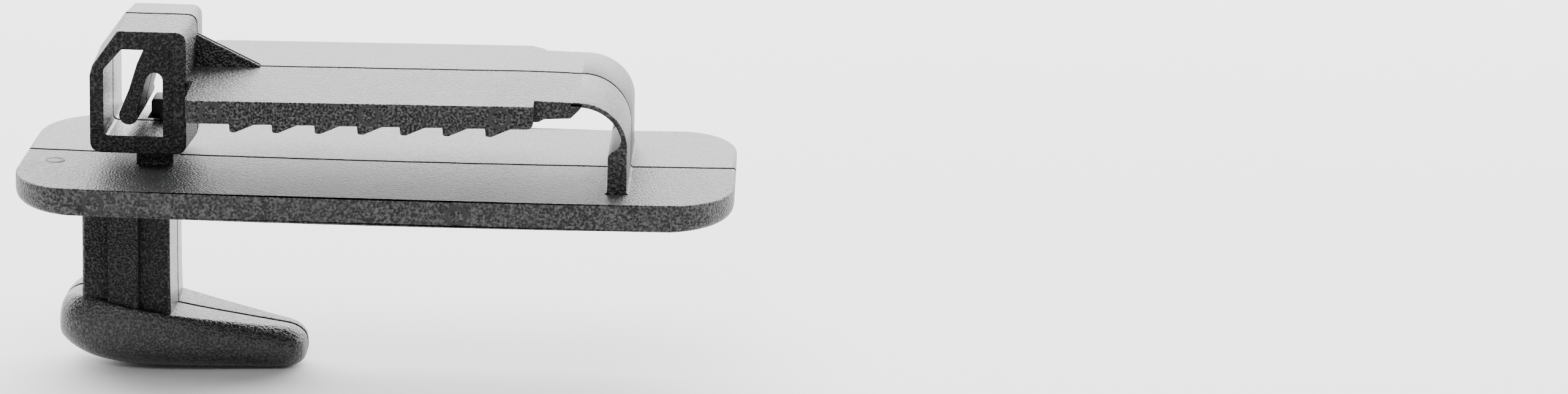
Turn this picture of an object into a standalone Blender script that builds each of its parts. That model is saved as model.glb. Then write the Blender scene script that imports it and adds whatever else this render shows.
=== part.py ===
"""Hook-in webbing clamp, moulded in one shot of black nylon, as its functional members.

A flat base plate carries a shank with a sideways hook foot underneath. On top, a toothed strap is
joined to the plate by a thin flexible web at one end, and by a latch box at the other end. The box
drops over a catch on the plate, and a hairpin pawl inside the box bears on that catch.

Everything is prismatic along Y, which is the direction the two mould halves open in, and drafted
away from the parting plane Y = 0. Units are metres. X runs along the plate and Z is up. The origin
is on the plate's underside, at the middle of its length and width.
"""

import math

import bmesh
import bpy
from mathutils import Vector
from mathutils.geometry import tessellate_polygon

MM = 0.001
GAP = 0.3 * MM                       # clearance between members that are modelled apart
ARC_STEPS = 6                        # segments in a quarter of a rounded corner

# Base plate
PLATE_HALF_LENGTH = 33.0 * MM
PLATE_HALF_WIDTH = 13.8 * MM
PLATE_THICKNESS = 2.5 * MM
PLATE_CORNER_ALONG = 5.4 * MM        # corner's reach along X; the plan corners are quarter ellipses
PLATE_CORNER_ACROSS = 7.2 * MM       # corner's reach along Y
PLATE_LOWER_RADIUS = 1.1 * MM        # at the two ends; the long faces have a small edge only
PLATE_FACE_EDGE = 0.1 * MM
PLATE_UPPER_RADIUS = 0.35 * MM
SOCKET_DEPTH = GAP                   # recess in the plate around each member that stands on it

# Latch box, outline at the parting plane
BOX_LEFT = -26.45 * MM
BOX_RIGHT = -17.2 * MM
BOX_BOTTOM = 4.1 * MM
BOX_TOP = 16.0 * MM
BOX_HALF_DEPTH = 6.0 * MM
BOX_SIDE_WALL = 1.5 * MM
BOX_ROOF = 2.1 * MM
BOX_FLOOR = 1.7 * MM
BOX_CHAMFER_X = 2.4 * MM             # big chamfer on the upper left corner
BOX_CHAMFER_Z = 3.4 * MM
BOX_CORNER = 1.1 * MM
BOX_EDGE = 0.3 * MM                  # small radius at both ends of the chamfer
BOX_DRAFT = math.radians(2.9)
CAVITY_DRAFT = math.radians(0.5)
CAVITY_CHAMFER_X = 2.05 * MM
CAVITY_CHAMFER_Z = 2.2 * MM

# Hairpin pawl inside the box
PAWL_GAP_CENTRE = (-20.45 * MM, 10.95 * MM)
PAWL_GAP_RADIUS = 0.72 * MM
PAWL_ROOT = (-21.45 * MM, 12.35 * MM)      # axis that the free leg flexes about
PAWL_TIP = (-22.83 * MM, 7.6 * MM)
PAWL_TIP_RADIUS = 0.84 * MM
PAWL_LEG_HALF = 0.62 * MM
PAWL_HALF_DEPTH = 5.7 * MM
PAWL_TIP_WRAP = 125                        # degrees that the round tip turns on each side
PAWL_TIP_STEPS = 12

# Catch that stands on the plate and reaches up through the floor of the box
STEM_LEFT = -22.45 * MM
STEM_RIGHT = -18.85 * MM
STEM_HALF_DEPTH = 4.1 * MM
CATCH_LEFT = -21.65 * MM
CATCH_RIGHT = -20.05 * MM
CATCH_NEAR = 1.1 * MM                # the catch stands in the back half of the stem only
CATCH_FAR = 3.9 * MM
CATCH_TOP = 7.55 * MM
CATCH_NECK_LEFT = -20.9 * MM         # the head overhangs its neck towards the pawl
CATCH_UNDERSIDE = 6.1 * MM
CATCH_NOSE = 0.5 * MM                # bevel that leads the pawl over the catch
SLOT_CLEARANCE = 0.35 * MM           # around the catch in the slot of the box's floor

# Toothed strap
STRAP_LEFT = BOX_RIGHT + GAP
STRAP_RIGHT = 14.65 * MM
STRAP_HALF_WIDTH = 12.2 * MM
STRAP_TOP = 11.2 * MM
STRAP_DRAFT = math.radians(2.0)
STRAP_TILT = math.radians(0.6)       # the strap rises a little towards its hinge
RACK_TOP = 9.25 * MM                 # plane between the strap and its row of teeth
RACK_BASE = 8.62 * MM
TOOTH_COUNT = 7
TOOTH_PITCH = 3.86 * MM
TOOTH_FIRST = -12.9 * MM
TOOTH_TIP_Z = 7.8 * MM
TOOTH_TIP_WIDTH = 0.55 * MM
TOOTH_RAMP = 1.85 * MM
STRAP_CORNER = 0.8 * MM              # plan radius of the strap's corners
RACK_INSET = 0.15 * MM               # the teeth stop short of the strap's side faces
HEEL_START = 1.0 * MM                # plain length of the strap before the rack's heel

# Neck, flexible web and the post that the web stands on
NECK_RIGHT = 18.35 * MM
NECK_BOTTOM = 9.8 * MM
NECK_SWEEP_X = 1.1 * MM              # ramp from the rack up to the neck's underside
NECK_SWEEP_Z = 0.6 * MM
WEB_HALF_WIDTH = 10.1 * MM
WEB_THICKNESS = 0.5 * MM
WEB_CENTRE = (18.65 * MM, 6.95 * MM)
WEB_OUTER_RADIUS = 4.5 * MM
WEB_STEPS = 16                       # segments along the bend
POST_RIGHT = 23.15 * MM
POST_WIDTH = 1.75 * MM
POST_TOP = 7.4 * MM
POST_SHOULDER = 6.3 * MM
ARM_AXIS = (21.9 * MM, 10.25 * MM)

# Gusset between the box and the strap
GUSSET_TOP = 14.1 * MM
GUSSET_TIP = -11.5 * MM
GUSSET_THICKNESS = 1.0 * MM
GUSSET_BLUNT_X = 0.3 * MM
GUSSET_BLUNT_Z = 0.1 * MM

# Shank and hook foot below the plate
SHANK_LEFT = -27.4 * MM
SHANK_RIGHT = -19.3 * MM
SHANK_HALF_DEPTH = 4.4 * MM
SHANK_BOTTOM = -10.1 * MM
RIB_LEFT = -25.2 * MM
RIB_RIGHT = -22.0 * MM
RIB_HALF_DEPTH = 4.9 * MM            # the rib stands a little proud of the rest of the shank

# Hook foot stations: x, top, bottom and half width, all in millimetres
FOOT_STATIONS_MM = (
    (-30.1, -12.9, -14.2, 0.9),
    (-29.9, -11.9, -14.7, 2.4),
    (-29.3, -11.0, -15.2, 3.6),
    (-28.2, -10.6, -15.9, 4.6),
    (-26.5, -10.6, -16.6, 5.3),
    (-24.0, -10.8, -17.15, 5.6),
    (-21.0, -11.3, -17.35, 5.5),
    (-17.0, -12.1, -17.42, 4.8),
    (-13.0, -12.75, -17.46, 3.9),
    (-9.6, -13.3, -17.5, 3.1),
    (-8.0, -13.6, -17.3, 2.6),
    (-7.15, -14.1, -16.75, 1.8),
    (-6.85, -14.8, -16.0, 0.8),
)
FOOT_SECTION_POINTS = 20
FOOT_SQUARENESS = 2.6                # exponent of the section's superellipse


def clear_scene():
    """Remove every object, so that the script can run again."""
    for item in list(bpy.data.objects):
        bpy.data.objects.remove(item, do_unlink=True)


def make_material(name, colour, roughness):
    """Principled material of one member."""
    material = bpy.data.materials.new(name)
    material.use_nodes = True
    shader = material.node_tree.nodes["Principled BSDF"]
    shader.inputs["Base Color"].default_value = (*colour, 1.0)
    shader.inputs["Roughness"].default_value = roughness
    shader.inputs["Metallic"].default_value = 0.0
    return material


def finish_object(name, mesh_builder, colour=(0.028, 0.028, 0.030), roughness=0.42, origin=(0, 0, 0)):
    """Turn a bmesh into a linked object whose origin is at the given point."""
    bmesh.ops.recalc_face_normals(mesh_builder, faces=mesh_builder.faces)
    bmesh.ops.translate(mesh_builder, verts=mesh_builder.verts, vec=-Vector(origin))
    mesh = bpy.data.meshes.new(name)
    mesh_builder.to_mesh(mesh)
    mesh_builder.free()
    mesh.materials.append(make_material(name + "_nylon", colour, roughness))
    item = bpy.data.objects.new(name, mesh)
    item.location = origin
    bpy.context.collection.objects.link(item)
    return item


def arc(centre, radius, start_deg, end_deg, steps=ARC_STEPS):
    """Points on a circular arc, both ends included."""
    points = []
    for index in range(steps + 1):
        angle = math.radians(start_deg + (end_deg - start_deg) * index / steps)
        points.append((centre[0] + radius * math.cos(angle), centre[1] + radius * math.sin(angle)))
    return points


def rounded_outline(corners):
    """Closed outline from (x, z, radius) corners, given anticlockwise."""
    points = []
    count = len(corners)
    for index, (x, z, radius) in enumerate(corners):
        if radius <= 0:
            points.append((x, z))
            continue
        here = Vector((x, z))
        before = (Vector(corners[index - 1][:2]) - here).normalized()
        after = (Vector(corners[(index + 1) % count][:2]) - here).normalized()
        half_angle = before.angle(after) / 2
        reach = radius / math.tan(half_angle)
        centre = here + (before + after).normalized() * (radius / math.sin(half_angle))
        first = here + before * reach - centre
        last = here + after * reach - centre
        turn = first.angle_signed(last)
        for step in range(ARC_STEPS + 1):
            angle = math.atan2(first.y, first.x) - turn * step / ARC_STEPS
            points.append((centre.x + radius * math.cos(angle), centre.y + radius * math.sin(angle)))
    return points


def inset_outline(points, distance):
    """Move each edge of an anticlockwise outline inwards by a distance."""
    moved = []
    count = len(points)
    for index in range(count):
        here = Vector(points[index])
        before = (here - Vector(points[index - 1])).normalized()
        after = (Vector(points[(index + 1) % count]) - here).normalized()
        normal_before = Vector((-before.y, before.x))
        normal_after = Vector((-after.y, after.x))
        mitre = (normal_before + normal_after).normalized()
        moved.append(tuple(here + mitre * (distance / max(mitre.dot(normal_before), 0.3))))
    return moved


def add_loop(mesh_builder, points, y):
    """Add one loop of vertices in the plane at depth y."""
    return [mesh_builder.verts.new((x, y, z)) for x, z in points]


def bridge(mesh_builder, first, second):
    """Join two loops of the same length with quads."""
    count = len(first)
    for index in range(count):
        after = (index + 1) % count
        mesh_builder.faces.new((first[index], first[after], second[after], second[index]))


def cap(mesh_builder, loops):
    """Close one end with triangles: the first loop is the outline, the others are holes."""
    vertices = [vertex for loop in loops for vertex in loop]
    flat = [[Vector((v.co.x, v.co.z, 0.0)) for v in loop] for loop in loops]
    for triangle in tessellate_polygon(flat):
        mesh_builder.faces.new([vertices[index] for index in triangle])


def drafted_prism(outline, levels, holes=()):
    """Prism along Y. Levels are (y, inset of the outline, growth of the holes)."""
    mesh_builder = bmesh.new()
    rows = []
    for y, inset, flare in levels:
        row = [add_loop(mesh_builder, inset_outline(outline, inset), y)]
        row += [add_loop(mesh_builder, inset_outline(hole, -flare), y) for hole in holes]
        rows.append(row)
    for lower, upper in zip(rows, rows[1:]):
        for first, second in zip(lower, upper):
            bridge(mesh_builder, first, second)
    cap(mesh_builder, rows[0])
    cap(mesh_builder, rows[-1])
    return mesh_builder


def drafted_levels(half_depth, draft):
    """Full size at the parting plane, and smaller by the draft at both outer faces."""
    inset = half_depth * math.tan(draft)
    return ((-half_depth, inset, 0.0), (0.0, 0.0, 0.0), (half_depth, inset, 0.0))


def straight_levels(near, far):
    """Two levels with no draft."""
    return ((near, 0.0, 0.0), (far, 0.0, 0.0))


def tilt_strap(x):
    """Rise of the strap at x, from its left end."""
    return (x - STRAP_LEFT) * math.tan(STRAP_TILT)


def plate_outline(inset_along, inset_across):
    """Plan of the plate with elliptical corners, drawn in by its own amount along X and Y."""
    outline = []
    for sign_x, sign_y, start in ((1, 1, 0), (-1, 1, 90), (-1, -1, 180), (1, -1, 270)):
        centre_x = sign_x * (PLATE_HALF_LENGTH - PLATE_CORNER_ALONG)
        centre_y = sign_y * (PLATE_HALF_WIDTH - PLATE_CORNER_ACROSS)
        for step in range(ARC_STEPS + 1):
            angle = math.radians(start + 90 * step / ARC_STEPS)
            outline.append((centre_x + (PLATE_CORNER_ALONG - inset_along) * math.cos(angle),
                            centre_y + (PLATE_CORNER_ACROSS - inset_across) * math.sin(angle)))
    return outline


def make_plate():
    """Oblong plate: a full radius under its two ends, and a small edge everywhere else."""
    profile = []
    for step in range(ARC_STEPS + 1):
        angle = math.radians(90 * step / ARC_STEPS)
        profile.append((PLATE_LOWER_RADIUS * (1 - math.sin(angle)),
                        PLATE_FACE_EDGE * (1 - math.sin(angle)),
                        PLATE_LOWER_RADIUS * (1 - math.cos(angle))))
    for step in range(ARC_STEPS + 1):
        angle = math.radians(90 * step / ARC_STEPS)
        profile.append((PLATE_UPPER_RADIUS * (1 - math.cos(angle)),
                        PLATE_FACE_EDGE * (1 - math.cos(angle)),
                        PLATE_THICKNESS - PLATE_UPPER_RADIUS * (1 - math.sin(angle))))
    mesh_builder = bmesh.new()
    rows = []
    for inset_along, inset_across, z in profile:
        plan = plate_outline(inset_along, inset_across)
        rows.append([mesh_builder.verts.new((x, y, z)) for x, y in plan])
    for lower, upper in zip(rows, rows[1:]):
        bridge(mesh_builder, lower, upper)
    mesh_builder.faces.new(rows[0])
    mesh_builder.faces.new(rows[-1])
    plate = finish_object("base_plate", mesh_builder)
    roof = PLATE_THICKNESS - SOCKET_DEPTH
    cut_block(plate, "shank_socket", (SHANK_LEFT - GAP, -RIB_HALF_DEPTH - GAP),
              (SHANK_RIGHT + GAP, RIB_HALF_DEPTH + GAP), -MM, SOCKET_DEPTH)
    cut_block(plate, "stem_socket", (STEM_LEFT - GAP, -STEM_HALF_DEPTH - GAP),
              (STEM_RIGHT + GAP, STEM_HALF_DEPTH + GAP), roof, PLATE_THICKNESS + MM)
    cut_block(plate, "post_socket", (POST_RIGHT - POST_WIDTH - GAP, -WEB_HALF_WIDTH - GAP),
              (POST_RIGHT + GAP, WEB_HALF_WIDTH + GAP), roof, PLATE_THICKNESS + MM)


def block_mesh(left_near, right_far, bottom, top):
    """Plain block between two (x, y) corners and two heights."""
    mesh_builder = bmesh.new()
    bmesh.ops.create_cube(mesh_builder, size=1.0)
    for vertex in mesh_builder.verts:
        vertex.co.x = left_near[0] if vertex.co.x < 0 else right_far[0]
        vertex.co.y = left_near[1] if vertex.co.y < 0 else right_far[1]
        vertex.co.z = bottom if vertex.co.z < 0 else top
    return mesh_builder


def cut_block(item, name, left_near, right_far, bottom, top):
    """Cut a plain block out of a member with an exact Boolean and a hidden cutter."""
    cutter = finish_object(name + "_cutter", block_mesh(left_near, right_far, bottom, top))
    cutter.hide_render = True
    cutter.display_type = "WIRE"
    cut = item.modifiers.new(name, "BOOLEAN")
    cut.operation = "DIFFERENCE"
    cut.solver = "EXACT"
    cut.object = cutter


def make_shank():
    """Shank below the plate: a proud rib between two lower blocks."""
    top = SOCKET_DEPTH - GAP
    for name, left, right, half in (("heel", SHANK_LEFT, RIB_LEFT - GAP, SHANK_HALF_DEPTH),
                                    ("rib", RIB_LEFT, RIB_RIGHT, RIB_HALF_DEPTH),
                                    ("toe", RIB_RIGHT + GAP, SHANK_RIGHT, SHANK_HALF_DEPTH)):
        finish_object("shank_" + name, block_mesh((left, -half), (right, half), SHANK_BOTTOM, top))


def make_foot():
    """Hook foot: superellipse sections lofted along X from the heel to the toe."""
    mesh_builder = bmesh.new()
    rows = []
    for x, top, bottom, half_width in FOOT_STATIONS_MM:
        middle = (top + bottom) / 2
        half_height = (top - bottom) / 2
        row = []
        for index in range(FOOT_SECTION_POINTS):
            angle = 2 * math.pi * index / FOOT_SECTION_POINTS
            cosine = math.cos(angle)
            sine = math.sin(angle)
            y = half_width * math.copysign(abs(cosine) ** (2 / FOOT_SQUARENESS), cosine)
            z = middle + half_height * math.copysign(abs(sine) ** (2 / FOOT_SQUARENESS), sine)
            row.append(mesh_builder.verts.new((x * MM, y * MM, z * MM)))
        rows.append(row)
    for first, second in zip(rows, rows[1:]):
        bridge(mesh_builder, first, second)
    mesh_builder.faces.new(rows[0])
    mesh_builder.faces.new(rows[-1])
    return finish_object("hook_foot", mesh_builder)


def make_catch():
    """Stem under the box, and the catch that stands on it inside the box."""
    stem_top = BOX_BOTTOM - GAP
    stem_bottom = PLATE_THICKNESS - SOCKET_DEPTH + GAP
    finish_object("latch_stem", block_mesh((STEM_LEFT, -STEM_HALF_DEPTH),
                                           (STEM_RIGHT, STEM_HALF_DEPTH), stem_bottom, stem_top))
    outline = [(CATCH_NECK_LEFT, stem_top + GAP), (CATCH_RIGHT, stem_top + GAP), (CATCH_RIGHT, CATCH_TOP),
               (CATCH_LEFT + CATCH_NOSE, CATCH_TOP), (CATCH_LEFT, CATCH_TOP - CATCH_NOSE),
               (CATCH_LEFT, CATCH_UNDERSIDE), (CATCH_NECK_LEFT, CATCH_UNDERSIDE)]
    finish_object("catch_head", drafted_prism(outline, straight_levels(CATCH_NEAR, CATCH_FAR)))


def make_box():
    """Closed ring with a chamfered corner, and a slot in its floor for the catch."""
    outer = rounded_outline((
        (BOX_LEFT, BOX_BOTTOM, BOX_CORNER),
        (BOX_RIGHT, BOX_BOTTOM, BOX_CORNER),
        (BOX_RIGHT, BOX_TOP, BOX_CORNER),
        (BOX_LEFT + BOX_CHAMFER_X, BOX_TOP, BOX_EDGE),
        (BOX_LEFT, BOX_TOP - BOX_CHAMFER_Z, BOX_EDGE),
    ))
    inner_left = BOX_LEFT + BOX_SIDE_WALL
    inner_right = BOX_RIGHT - BOX_SIDE_WALL
    inner_top = BOX_TOP - BOX_ROOF
    floor = BOX_BOTTOM + BOX_FLOOR
    inner = [(inner_left, floor), (inner_right, floor), (inner_right, inner_top),
             (inner_left + CAVITY_CHAMFER_X, inner_top), (inner_left, inner_top - CAVITY_CHAMFER_Z)]
    draft = BOX_HALF_DEPTH * math.tan(BOX_DRAFT)
    flare = BOX_HALF_DEPTH * math.tan(CAVITY_DRAFT)
    levels = ((-BOX_HALF_DEPTH, draft, flare), (0.0, 0.0, 0.0), (BOX_HALF_DEPTH, draft, flare))
    box = finish_object("latch_box", drafted_prism(outer, levels, (inner,)))
    cut_block(box, "floor_slot", (CATCH_LEFT - SLOT_CLEARANCE, CATCH_NEAR - SLOT_CLEARANCE),
              (CATCH_RIGHT + SLOT_CLEARANCE, CATCH_FAR + SLOT_CLEARANCE), BOX_BOTTOM - MM, floor + MM)
    return inner_right, inner_top


def make_pawl(inner_right, inner_top):
    """Hairpin: an anchor fixed in the box's upper right corner and a free leg with a round tip."""
    gap_x = PAWL_GAP_CENTRE[0]
    right = inner_right - GAP
    foot = BOX_BOTTOM + BOX_FLOOR + GAP
    root = Vector(PAWL_ROOT)
    tip = Vector(PAWL_TIP)
    along = (tip - root).normalized()
    across = Vector((-along.y, along.x))
    over_leg = root - along * GAP
    levels = straight_levels(-PAWL_HALF_DEPTH, PAWL_HALF_DEPTH)
    outline = [(right, foot), (right, inner_top - GAP), (root.x, inner_top - GAP),
               tuple(over_leg - across * PAWL_LEG_HALF), (gap_x, over_leg.y)]
    outline += arc(PAWL_GAP_CENTRE, PAWL_GAP_RADIUS, 90, 0)
    outline += [(gap_x + PAWL_GAP_RADIUS, foot)]
    finish_object("pawl_anchor", drafted_prism(outline, levels))
    heading = math.degrees(math.atan2(along.y, along.x))
    leg_end = tip - along * PAWL_TIP_RADIUS
    leg = [tuple(root + across * PAWL_LEG_HALF), tuple(root - across * PAWL_LEG_HALF),
           tuple(leg_end - across * PAWL_LEG_HALF)]
    leg += arc(PAWL_TIP, PAWL_TIP_RADIUS, heading - PAWL_TIP_WRAP, heading + PAWL_TIP_WRAP,
               PAWL_TIP_STEPS)
    leg += [tuple(leg_end + across * PAWL_LEG_HALF)]
    finish_object("pawl_leg", drafted_prism(leg, levels), origin=(PAWL_ROOT[0], 0.0, PAWL_ROOT[1]))


def arm_object(name, mesh_builder):
    """Member of the swinging arm, with its origin on the arm's axis."""
    return finish_object(name, mesh_builder, origin=(ARM_AXIS[0], 0.0, ARM_AXIS[1]))


def make_gusset():
    """Thin triangular web between the box's right wall and the top of the strap."""
    left = BOX_RIGHT + GAP
    foot_left = STRAP_TOP + GAP + tilt_strap(left)
    foot_tip = STRAP_TOP + GAP + tilt_strap(GUSSET_TIP)
    outline = [(left, foot_left), (GUSSET_TIP, foot_tip),
               (GUSSET_TIP - GUSSET_BLUNT_X, foot_tip + GUSSET_BLUNT_Z), (left, GUSSET_TOP)]
    half = GUSSET_THICKNESS / 2
    arm_object("gusset", drafted_prism(outline, straight_levels(-half, half)))


def strap_stations():
    """Depths along Y with the reach of the plan corner at each one."""
    corner_start = STRAP_HALF_WIDTH - STRAP_CORNER
    near = []
    for step in range(ARC_STEPS + 1):
        angle = math.radians(90 * step / ARC_STEPS)
        near.append((-corner_start - STRAP_CORNER * math.cos(angle),
                     STRAP_CORNER * (1 - math.sin(angle))))
    return near + [(0.0, 0.0)] + [(-y, reach) for y, reach in reversed(near)]


def make_strap():
    """Slab of the strap: its top falls away from a ridge at the parting plane by the draft."""
    mesh_builder = bmesh.new()
    rows = []
    for y, reach in strap_stations():
        left = STRAP_LEFT + reach
        right = STRAP_RIGHT - reach
        drop = abs(y) * math.tan(STRAP_DRAFT)
        row = [(left, RACK_TOP + GAP), (right, RACK_TOP + GAP),
               (right, STRAP_TOP - drop), (left, STRAP_TOP - drop)]
        rows.append(add_loop(mesh_builder, [(x, z + tilt_strap(x)) for x, z in row], y))
    for first, second in zip(rows, rows[1:]):
        bridge(mesh_builder, first, second)
    mesh_builder.faces.new(rows[0])
    mesh_builder.faces.new(rows[-1])
    arm_object("strap_bar", mesh_builder)


def make_teeth():
    """Rack under the strap: a plain heel, then one block for each tooth."""
    half = STRAP_HALF_WIDTH - RACK_INSET
    levels = straight_levels(-half, half)
    start = STRAP_LEFT + HEEL_START
    end = TOOTH_FIRST - GAP
    heel = [(start, RACK_BASE), (end, RACK_BASE), (end, RACK_TOP), (start, RACK_TOP)]
    arm_object("rack_heel", drafted_prism(heel, levels))
    for index in range(TOOTH_COUNT):
        x = TOOTH_FIRST + index * TOOTH_PITCH
        rise = tilt_strap(x)
        is_last = index == TOOTH_COUNT - 1
        end = STRAP_RIGHT if is_last else x + TOOTH_PITCH - GAP
        tooth = [(x, RACK_TOP), (x, TOOTH_TIP_Z), (x + TOOTH_TIP_WIDTH, TOOTH_TIP_Z),
                 (x + TOOTH_TIP_WIDTH + TOOTH_RAMP, RACK_BASE), (end, RACK_BASE), (end, RACK_TOP)]
        arm_object(f"tooth_{index + 1}", drafted_prism([(px, pz + rise) for px, pz in tooth], levels))


def make_neck():
    """Neck between the strap and the flexible web."""
    top = STRAP_TOP + tilt_strap(STRAP_RIGHT)
    left = STRAP_RIGHT + GAP
    outline = [(left, NECK_BOTTOM - NECK_SWEEP_Z), (left + NECK_SWEEP_X, NECK_BOTTOM),
               (NECK_RIGHT - NECK_SWEEP_Z, NECK_BOTTOM), (NECK_RIGHT, top - WEB_THICKNESS),
               (NECK_RIGHT, top), (left, top)]
    arm_object("strap_neck", drafted_prism(outline, drafted_levels(WEB_HALF_WIDTH, STRAP_DRAFT)))


def make_web():
    """Flexible web: a thin quarter bend from the neck down to the post."""
    start = NECK_RIGHT + GAP
    end = POST_TOP + GAP
    right = WEB_CENTRE[0] + WEB_OUTER_RADIUS
    outer = arc(WEB_CENTRE, WEB_OUTER_RADIUS, 90, 0, WEB_STEPS)
    inner = arc(WEB_CENTRE, WEB_OUTER_RADIUS - WEB_THICKNESS, 0, 90, WEB_STEPS)
    outline = [point for point in outer if point[1] > end]
    outline += [(right, end), (right - WEB_THICKNESS, end)]
    outline += [point for point in inner if point[1] > end]
    outline = [(max(x, start), z) for x, z in reversed(outline)]
    finish_object("hinge_web", drafted_prism(outline, straight_levels(-WEB_HALF_WIDTH,
                                                                     WEB_HALF_WIDTH)))


def make_post():
    """Post on the plate, thinning at its top to the thickness of the web."""
    left = POST_RIGHT - POST_WIDTH
    foot = PLATE_THICKNESS - SOCKET_DEPTH + GAP
    outline = [(left, foot), (POST_RIGHT, foot), (POST_RIGHT, POST_TOP),
               (POST_RIGHT - WEB_THICKNESS, POST_TOP), (left, POST_SHOULDER)]
    finish_object("hinge_post", drafted_prism(outline, straight_levels(-WEB_HALF_WIDTH,
                                                                      WEB_HALF_WIDTH)))


def main():
    """Build every member."""
    clear_scene()
    make_plate()
    make_shank()
    make_foot()
    make_catch()
    inner_right, inner_top = make_box()
    make_pawl(inner_right, inner_top)
    make_gusset()
    make_strap()
    make_teeth()
    make_neck()
    make_web()
    make_post()


main()
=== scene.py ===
"""Looks of a hook-in webbing clamp: one moulding of black nylon, seen in soft studio light.

Every member is shaped as a mould tool would leave it: two halves that open along Y, drafted away
from a parting line at Y = 0, with small radii, round ejector marks and a spark-eroded grain.
Lengths in the outlines are millimetres in the frame's own axes, and points are (x, z) pairs.
"""

import functools
import math

import bmesh
import bpy
from mathutils import Matrix, Vector
from mathutils.geometry import tessellate_polygon

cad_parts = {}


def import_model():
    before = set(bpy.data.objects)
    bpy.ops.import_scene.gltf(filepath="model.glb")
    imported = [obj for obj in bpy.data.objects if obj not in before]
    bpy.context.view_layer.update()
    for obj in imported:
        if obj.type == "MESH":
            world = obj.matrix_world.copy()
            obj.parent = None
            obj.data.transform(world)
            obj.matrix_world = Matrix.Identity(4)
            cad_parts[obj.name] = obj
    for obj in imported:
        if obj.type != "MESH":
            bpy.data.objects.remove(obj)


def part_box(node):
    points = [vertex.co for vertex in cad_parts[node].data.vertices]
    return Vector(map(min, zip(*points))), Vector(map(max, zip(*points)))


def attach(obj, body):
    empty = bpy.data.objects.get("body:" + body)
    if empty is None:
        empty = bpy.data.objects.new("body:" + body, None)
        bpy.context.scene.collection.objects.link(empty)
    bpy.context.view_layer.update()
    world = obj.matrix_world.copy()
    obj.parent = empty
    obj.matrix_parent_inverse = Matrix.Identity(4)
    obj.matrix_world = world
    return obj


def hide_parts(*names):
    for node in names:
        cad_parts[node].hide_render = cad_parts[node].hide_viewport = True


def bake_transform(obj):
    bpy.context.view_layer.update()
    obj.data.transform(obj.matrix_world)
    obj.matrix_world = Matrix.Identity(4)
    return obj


MM = 0.001
EDGE = 0.09            # radius that every outer edge is broken with
EDGE_STEPS = 4
CORNER_STEPS = 7
CORNER_REACH = 0.45    # share of a side that the rounding of one corner may take up
SEAM_WIDTH = 0.34      # the parting line is a fine groove
SEAM_DEPTH = 0.09
SEAM_SHADE = 0.0003    # half width in metres of the dull line of painted shade in the groove
MARK_RADIUS = 0.86     # ejector marks
MARK_RING = 0.17
MARK_DEPTH = 0.09
MARK_POINTS = 36
GRAIN_SCALE = 4600     # per metre
GRAIN_DEPTH = 0.00013  # in metres
BLEND_OVERLAP = 0.35   # how far a member runs into the one that it grows out of
HOLE_DRAFT_SHARE = 0.15
FACES_ALONG_Y = 0.5    # a face whose normal's Y passes this is a front or back face


def note_size():
    """Bring the scene's transforms up to date."""
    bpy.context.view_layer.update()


@functools.cache
def limits(node):
    """Lowest and highest corner of a CAD node in millimetres."""
    low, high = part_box(node)
    return low / MM, high / MM


# ---------------------------------------------------------------------------------------------
# Outlines
# ---------------------------------------------------------------------------------------------

def line_crossing(first, first_way, second, second_way):
    """Point where two lines cross, or None where they run alongside each other."""
    area = first_way.x * second_way.y - first_way.y * second_way.x
    if abs(area) < 1e-5:
        return None
    gap = second - first
    return first + first_way * ((gap.x * second_way.y - gap.y * second_way.x) / area)


def inset_corners(corners, inset, drafts):
    """Move each side of an anticlockwise outline inwards. drafts scales the inset side by side."""
    count = len(corners)
    places = [Vector(corner[:2]) for corner in corners]
    ways = [(places[(i + 1) % count] - places[i]).normalized() for i in range(count)]
    shifts = [Vector((-way.y, way.x)) * inset * drafts[i] for i, way in enumerate(ways)]
    moved = []
    for i in range(count):
        met = line_crossing(places[i] + shifts[i - 1], ways[i - 1], places[i] + shifts[i], ways[i])
        moved.append(met if met is not None else places[i] + shifts[i])
    return moved


def outline_ring(corners, inset=0.0, drafts=None):
    """Rounded ring of points from (x, z, radius) corners, moved inwards by an inset."""
    drafts = drafts or [1.0] * len(corners)
    places = inset_corners(corners, inset, drafts)
    count = len(places)
    ring = []
    for i, place in enumerate(places):
        radius = corners[i][2]
        if radius <= 0:
            ring.append(place)
            continue
        before = places[i - 1] - place
        after = places[(i + 1) % count] - place
        half_angle = before.angle(after) / 2
        reach = min(radius / math.tan(half_angle), CORNER_REACH * before.length,
                    CORNER_REACH * after.length)
        start = place + before.normalized() * reach
        end = place + after.normalized() * reach
        for step in range(CORNER_STEPS + 1):
            t = step / CORNER_STEPS
            ring.append(start * (1 - t) ** 2 + place * 2 * t * (1 - t) + end * t ** 2)
    return ring


def arc_points(centre, radius, start, end, steps):
    """Points along a circular arc, angles in degrees."""
    points = []
    for step in range(steps + 1):
        angle = math.radians(start + (end - start) * step / steps)
        points.append((centre[0] + radius * math.cos(angle), centre[1] + radius * math.sin(angle)))
    return points


# ---------------------------------------------------------------------------------------------
# Mesh making
# ---------------------------------------------------------------------------------------------

def strip(builder, first, second):
    """Quads between two closed loops of vertices."""
    for i in range(len(first)):
        j = (i + 1) % len(first)
        builder.faces.new((first[i], first[j], second[j], second[i]))


def flat_cap(builder, loops):
    """Flat face along Y with holes."""
    vertices = [vertex for loop in loops for vertex in loop]
    flat = [[Vector((v.co.x, v.co.z, 0.0)) for v in loop] for loop in loops]
    for triangle in tessellate_polygon(flat):
        if len(set(triangle)) == 3:
            builder.faces.new([vertices[i] for i in triangle])


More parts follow.
